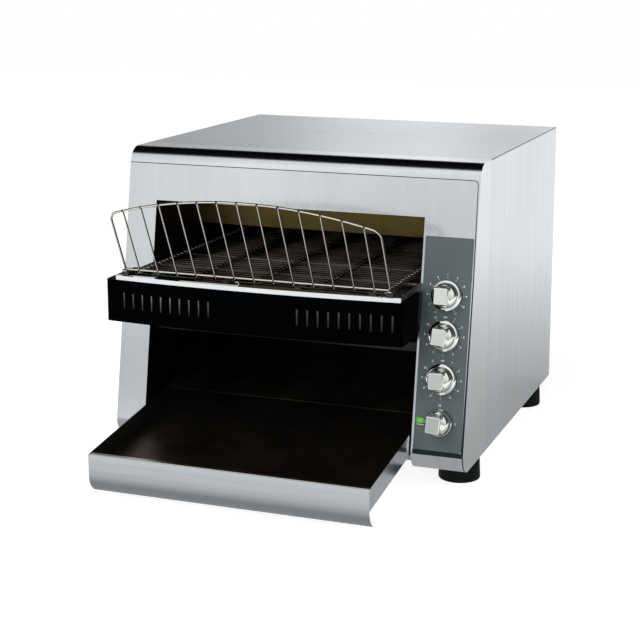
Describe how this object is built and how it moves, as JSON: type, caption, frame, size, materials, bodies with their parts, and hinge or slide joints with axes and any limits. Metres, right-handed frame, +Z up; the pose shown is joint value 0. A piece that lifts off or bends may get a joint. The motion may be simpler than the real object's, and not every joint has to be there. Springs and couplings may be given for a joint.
{
  "type": "conveyor toaster",
  "caption": "Counter-top conveyor toaster: stainless cabinet with leaning front, wire feed belt and guard, black slotted cover, toast tray below, round knobs on the right.",
  "frame": {"origin": "on the counter, under the middle of the whole toaster from the tray's front to the gland's back", "axes": "+X to the toaster's right as seen from its front, +Y from its front to its back, +Z up; the front with the belt, the tray and the knobs looks along -Y"},
  "size_m": [0.5, 0.6878, 0.4325],
  "materials": {
    "fascia_steel": "fine brushed stainless sheet",
    "casing_steel": "fine brushed stainless sheet",
    "inner_sheet": "heat-stained sheet",
    "heater": "dark oxidised sheath",
    "end_cap": "matt",
    "belt_wire": "dull woven wire",
    "shaft_steel": "turned",
    "bush_bronze": "turned",
    "cover_black": "gloss black",
    "strip_chrome": "polished",
    "guard_chrome": "polished wire",
    "tray_steel": "smooth stainless sheet",
    "panel_print": "mid grey film",
    "knob_chrome": "polished",
    "control_plastic": "moulded",
    "lamp_green": "clear green",
    "chain_steel": "oiled",
    "motor_grey": "satin",
    "fan_black": "moulded",
    "gland_black": "moulded",
    "terminal_white": "moulded",
    "foot_rubber": "matt",
    "fixings": "plated"
  },
  "bodies": {
    "cabinet": {"base_pan": "casing_steel", "front_fascia": "fascia_steel", "outer_casing": "casing_steel", "back_panel": "casing_steel", "inner_side_left": "inner_sheet", "inner_side_right": "inner_sheet", "chamber_ceiling": "inner_sheet", "front_baffle": "inner_sheet", "upper_heaters": "heater", "lower_heaters": "heater", "heater_end_caps": "end_cap", "rail_left": "shaft_steel", "rail_right": "shaft_steel", "belt_supports": "shaft_steel", "shaft_bushes": "bush_bronze", "conveyor_belt": "belt_wire", "conveyor_cover": "cover_black", "nose_strip": "strip_chrome", "guard_sockets": "strip_chrome", "tray_supports": "shaft_steel", "return_slide": "inner_sheet", "rear_chute": "inner_sheet", "control_overlay": "panel_print", "power_switch": "control_plastic", "bottom_heat_control": "control_plastic", "top_heat_control": "control_plastic", "speed_control": "control_plastic", "indicator_lamp": "lamp_green", "drive_chain": "chain_steel", "gearmotor": "motor_grey", "motor_bracket": "casing_steel", "fan_housing": "fan_black", "fan_guard": "guard_chrome", "cord_gland": "gland_black", "terminal_block": "terminal_white", "front_left_foot": "foot_rubber", "front_right_foot": "foot_rubber", "rear_left_foot": "foot_rubber", "rear_right_foot": "foot_rubber", "foot_bolts": "fixings", "panel_screws": "fixings"},
    "drive_roller": {"drive_shaft": "shaft_steel", "drive_belt_wheels": "shaft_steel", "driven_chain_sprocket": "shaft_steel"},
    "front_roller": {"front_shaft": "shaft_steel", "front_belt_wheels": "shaft_steel"},
    "motor_output": {"motor_sprocket": "shaft_steel"},
    "fan_wheel": {"fan_rotor": "fan_black"},
    "power_dial": {"power_knob": "knob_chrome", "power_spindle": "shaft_steel"},
    "bottom_heat_dial": {"bottom_heat_knob": "knob_chrome", "bottom_heat_spindle": "shaft_steel"},
    "top_heat_dial": {"top_heat_knob": "knob_chrome", "top_heat_spindle": "shaft_steel"},
    "speed_dial": {"speed_knob": "knob_chrome", "speed_spindle": "shaft_steel"},
    "guard": {"wire_guard": "guard_chrome"},
    "toast_tray": {"output_tray": "tray_steel"},
    "crumb_drawer": {"crumb_tray": "inner_sheet"}
  },
  "joints": [
    {"name": "drive_roller_spin", "type": "hinge", "parent": "cabinet", "child": "drive_roller", "pos_m": [0, 0.2279, 0.255], "axis": [1, 0, 0], "continuous": true},
    {"name": "front_roller_spin", "type": "hinge", "parent": "cabinet", "child": "front_roller", "pos_m": [0, -0.1996, 0.255], "axis": [1, 0, 0], "continuous": true},
    {"name": "motor_output_spin", "type": "hinge", "parent": "cabinet", "child": "motor_output", "pos_m": [0.192, 0.2279, 0.126], "axis": [1, 0, 0], "continuous": true},
    {"name": "fan_spin", "type": "hinge", "parent": "cabinet", "child": "fan_wheel", "pos_m": [0.216, 0.3164, 0.296], "axis": [0, 1, 0], "continuous": true},
    {"name": "power_turn", "type": "hinge", "parent": "cabinet", "child": "power_dial", "pos_m": [0.2148, -0.17663, 0.10184], "axis": [0, -0.986, 0.1668], "range_deg": [-90, 90]},
    {"name": "bottom_heat_turn", "type": "hinge", "parent": "cabinet", "child": "bottom_heat_dial", "pos_m": [0.2148, -0.16725, 0.15725], "axis": [0, -0.986, 0.1668], "range_deg": [-330, 0]},
    {"name": "top_heat_turn", "type": "hinge", "parent": "cabinet", "child": "top_heat_dial", "pos_m": [0.2148, -0.15785, 0.21286], "axis": [0, -0.986, 0.1668], "range_deg": [-330, 0]},
    {"name": "speed_turn", "type": "hinge", "parent": "cabinet", "child": "speed_dial", "pos_m": [0.2148, -0.14911, 0.26453], "axis": [0, -0.986, 0.1668], "range_deg": [-150, 150]},
    {"name": "guard_lift", "type": "slide", "parent": "cabinet", "child": "guard", "axis": [0, -0.4384, 0.8988], "range_m": [0, 0.05]},
    {"name": "tray_slide", "type": "slide", "parent": "cabinet", "child": "toast_tray", "axis": [0, -1, 0], "range_m": [0, 0.1]},
    {"name": "crumb_tray_slide", "type": "slide", "parent": "cabinet", "child": "crumb_drawer", "axis": [0, -1, 0], "range_m": [0, 0.25]}
  ],
  "couplings": [
    {"joint": "front_roller_spin", "follows": "drive_roller_spin", "ratio": 1},
    {"joint": "motor_output_spin", "follows": "drive_roller_spin", "ratio": 1}
  ]
}
